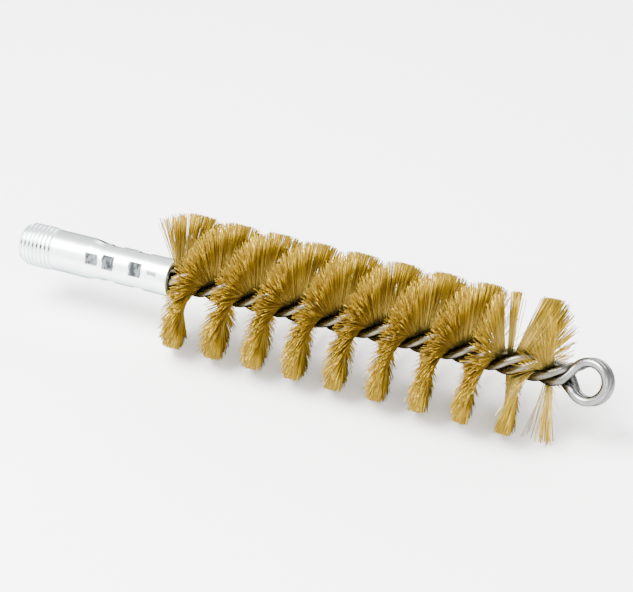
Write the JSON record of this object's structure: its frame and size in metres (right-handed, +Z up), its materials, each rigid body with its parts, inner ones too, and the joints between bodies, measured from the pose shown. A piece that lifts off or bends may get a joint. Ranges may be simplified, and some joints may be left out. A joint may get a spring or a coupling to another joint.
{
  "type": "tube cleaning brush",
  "caption": "Twisted-wire tube brush with one helical row of brass bristles, a pull loop at one end and a threaded, crimped ferrule at the other.",
  "frame": {"origin": "centre of the ferrule's threaded end face, on the stem's axis", "axes": "+X along the stem from the threaded end to the loop, +Z up, -Y towards the viewer; the loop's open side faces 62 degrees from +Z towards -Y"},
  "size_m": [0.1941, 0.0416, 0.0416],
  "materials": {
    "zinc_plated_steel": "satin",
    "stem_wire": "satin",
    "brass_bristle": "satin"
  },
  "bodies": {
    "root": {"threaded_ferrule": "zinc_plated_steel", "stem_wire_near": "stem_wire", "stem_wire_far": "stem_wire", "bristle_bank_1": "brass_bristle", "bristle_bank_2": "brass_bristle", "bristle_bank_3": "brass_bristle", "bristle_bank_4": "brass_bristle", "bristle_bank_5": "brass_bristle", "bristle_bank_6": "brass_bristle", "bristle_bank_7": "brass_bristle", "bristle_bank_8": "brass_bristle", "bristle_bank_9": "brass_bristle"}
  },
  "joints": []
}
